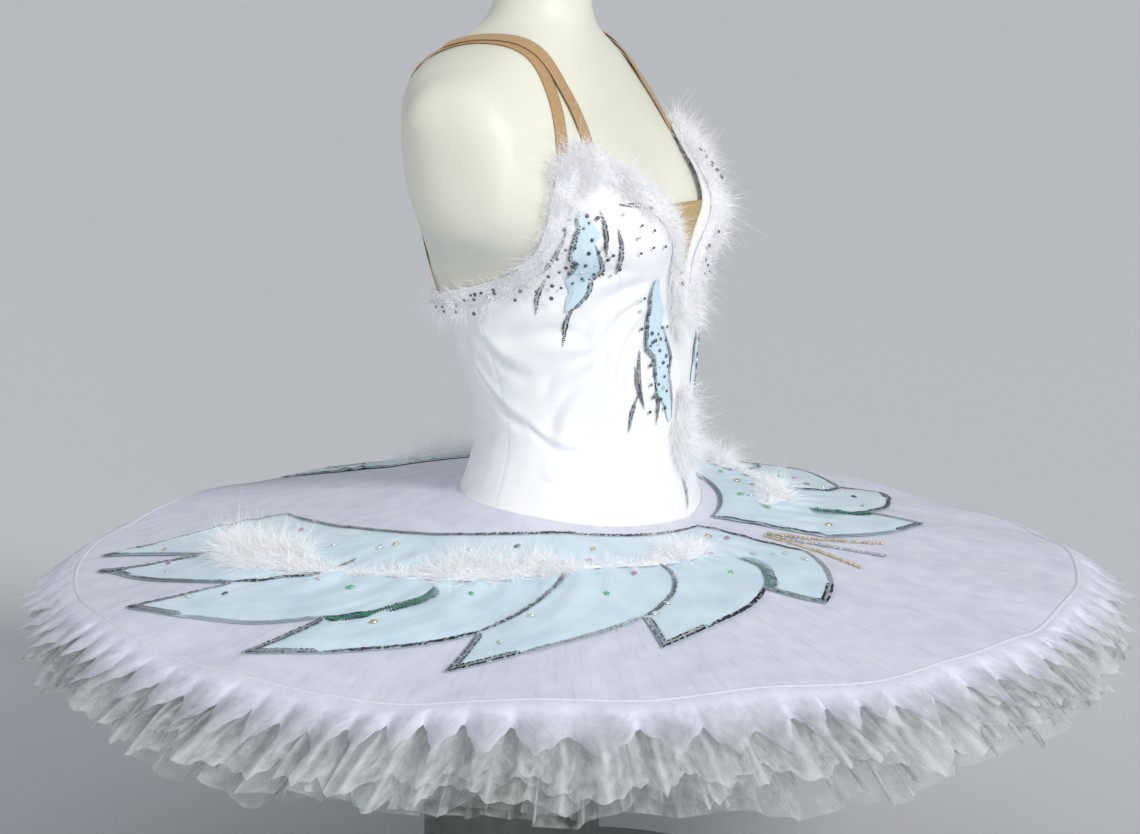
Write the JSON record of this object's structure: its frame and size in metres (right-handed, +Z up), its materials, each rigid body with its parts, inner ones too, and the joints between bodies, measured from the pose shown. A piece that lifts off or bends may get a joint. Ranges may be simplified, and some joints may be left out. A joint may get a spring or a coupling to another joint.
{
  "type": "ballet tutu on a dress form",
  "caption": "White pancake tutu with a fitted bodice, fur trim and pale blue wing motifs, on a limbless dress form and stand.",
  "frame": {"origin": "centre of the stand's round underside, on the floor", "axes": "+Z up; the garment's front faces -Y, and the wearer's right is -X"},
  "size_m": [1.0797, 1.0768, 0.9701],
  "materials": {
    "form": "satin",
    "stand": "satin",
    "bodice": "satin",
    "net": "matte",
    "elastic": "matte",
    "motif": "satin",
    "fur": "matte"
  },
  "bodies": {
    "root": {"bodice_back_left": "bodice", "bodice_back_right": "bodice", "bodice_front_left": "bodice", "bodice_front_right": "bodice", "bodice_side_left": "bodice", "bodice_side_right": "bodice", "form_base": "stand", "form_column": "stand", "form_torso": "form", "fur_centre": "fur", "fur_neckline_left": "fur", "fur_neckline_right": "fur", "fur_wing_left": "fur", "fur_wing_right": "fur", "hoop_casing": "net", "knickers": "bodice", "motif_cup_left": "motif", "motif_cup_right": "motif", "motif_front_left": "motif", "motif_front_right": "motif", "neck_insert": "elastic", "net_2": "net", "net_3": "net", "net_4": "net", "net_top": "net", "strap_inner_left": "elastic", "strap_inner_right": "elastic", "strap_outer_left": "elastic", "strap_outer_right": "elastic", "wing_left": "motif", "wing_right": "motif"}
  },
  "joints": []
}
